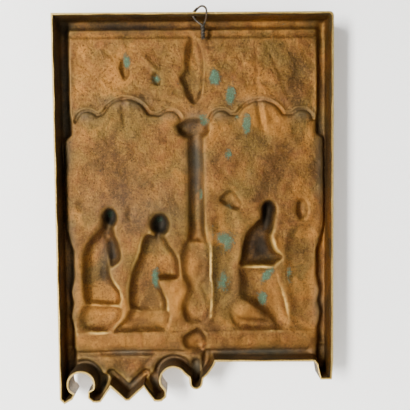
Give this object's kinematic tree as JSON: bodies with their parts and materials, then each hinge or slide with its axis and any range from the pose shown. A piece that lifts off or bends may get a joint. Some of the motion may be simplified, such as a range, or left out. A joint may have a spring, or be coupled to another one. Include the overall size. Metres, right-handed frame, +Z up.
{
  "type": "relief plaque",
  "caption": "Hollow cast brass relief plaque with kneeling figures under lobed arches, a broken pierced crest along its lower edge and a twisted iron wire loop to hang it by.",
  "frame": {"origin": "inside top of the wire hanging loop, where a nail or hook bears", "axes": "+Z up, relief faces -Y, ground back rim lies in the plane Y = 0 towards the wall (+Y)"},
  "size_m": [0.2181, 0.034, 0.3081],
  "materials": {
    "casting": "golden-brown mottled patina, dark olive in the deep hollows, verdigris spots, bright ground rim",
    "wire": "dark weathered iron, dull"
  },
  "bodies": {
    "root": {"plaque_casting": "casting", "hanging_wire": "wire"}
  },
  "joints": []
}
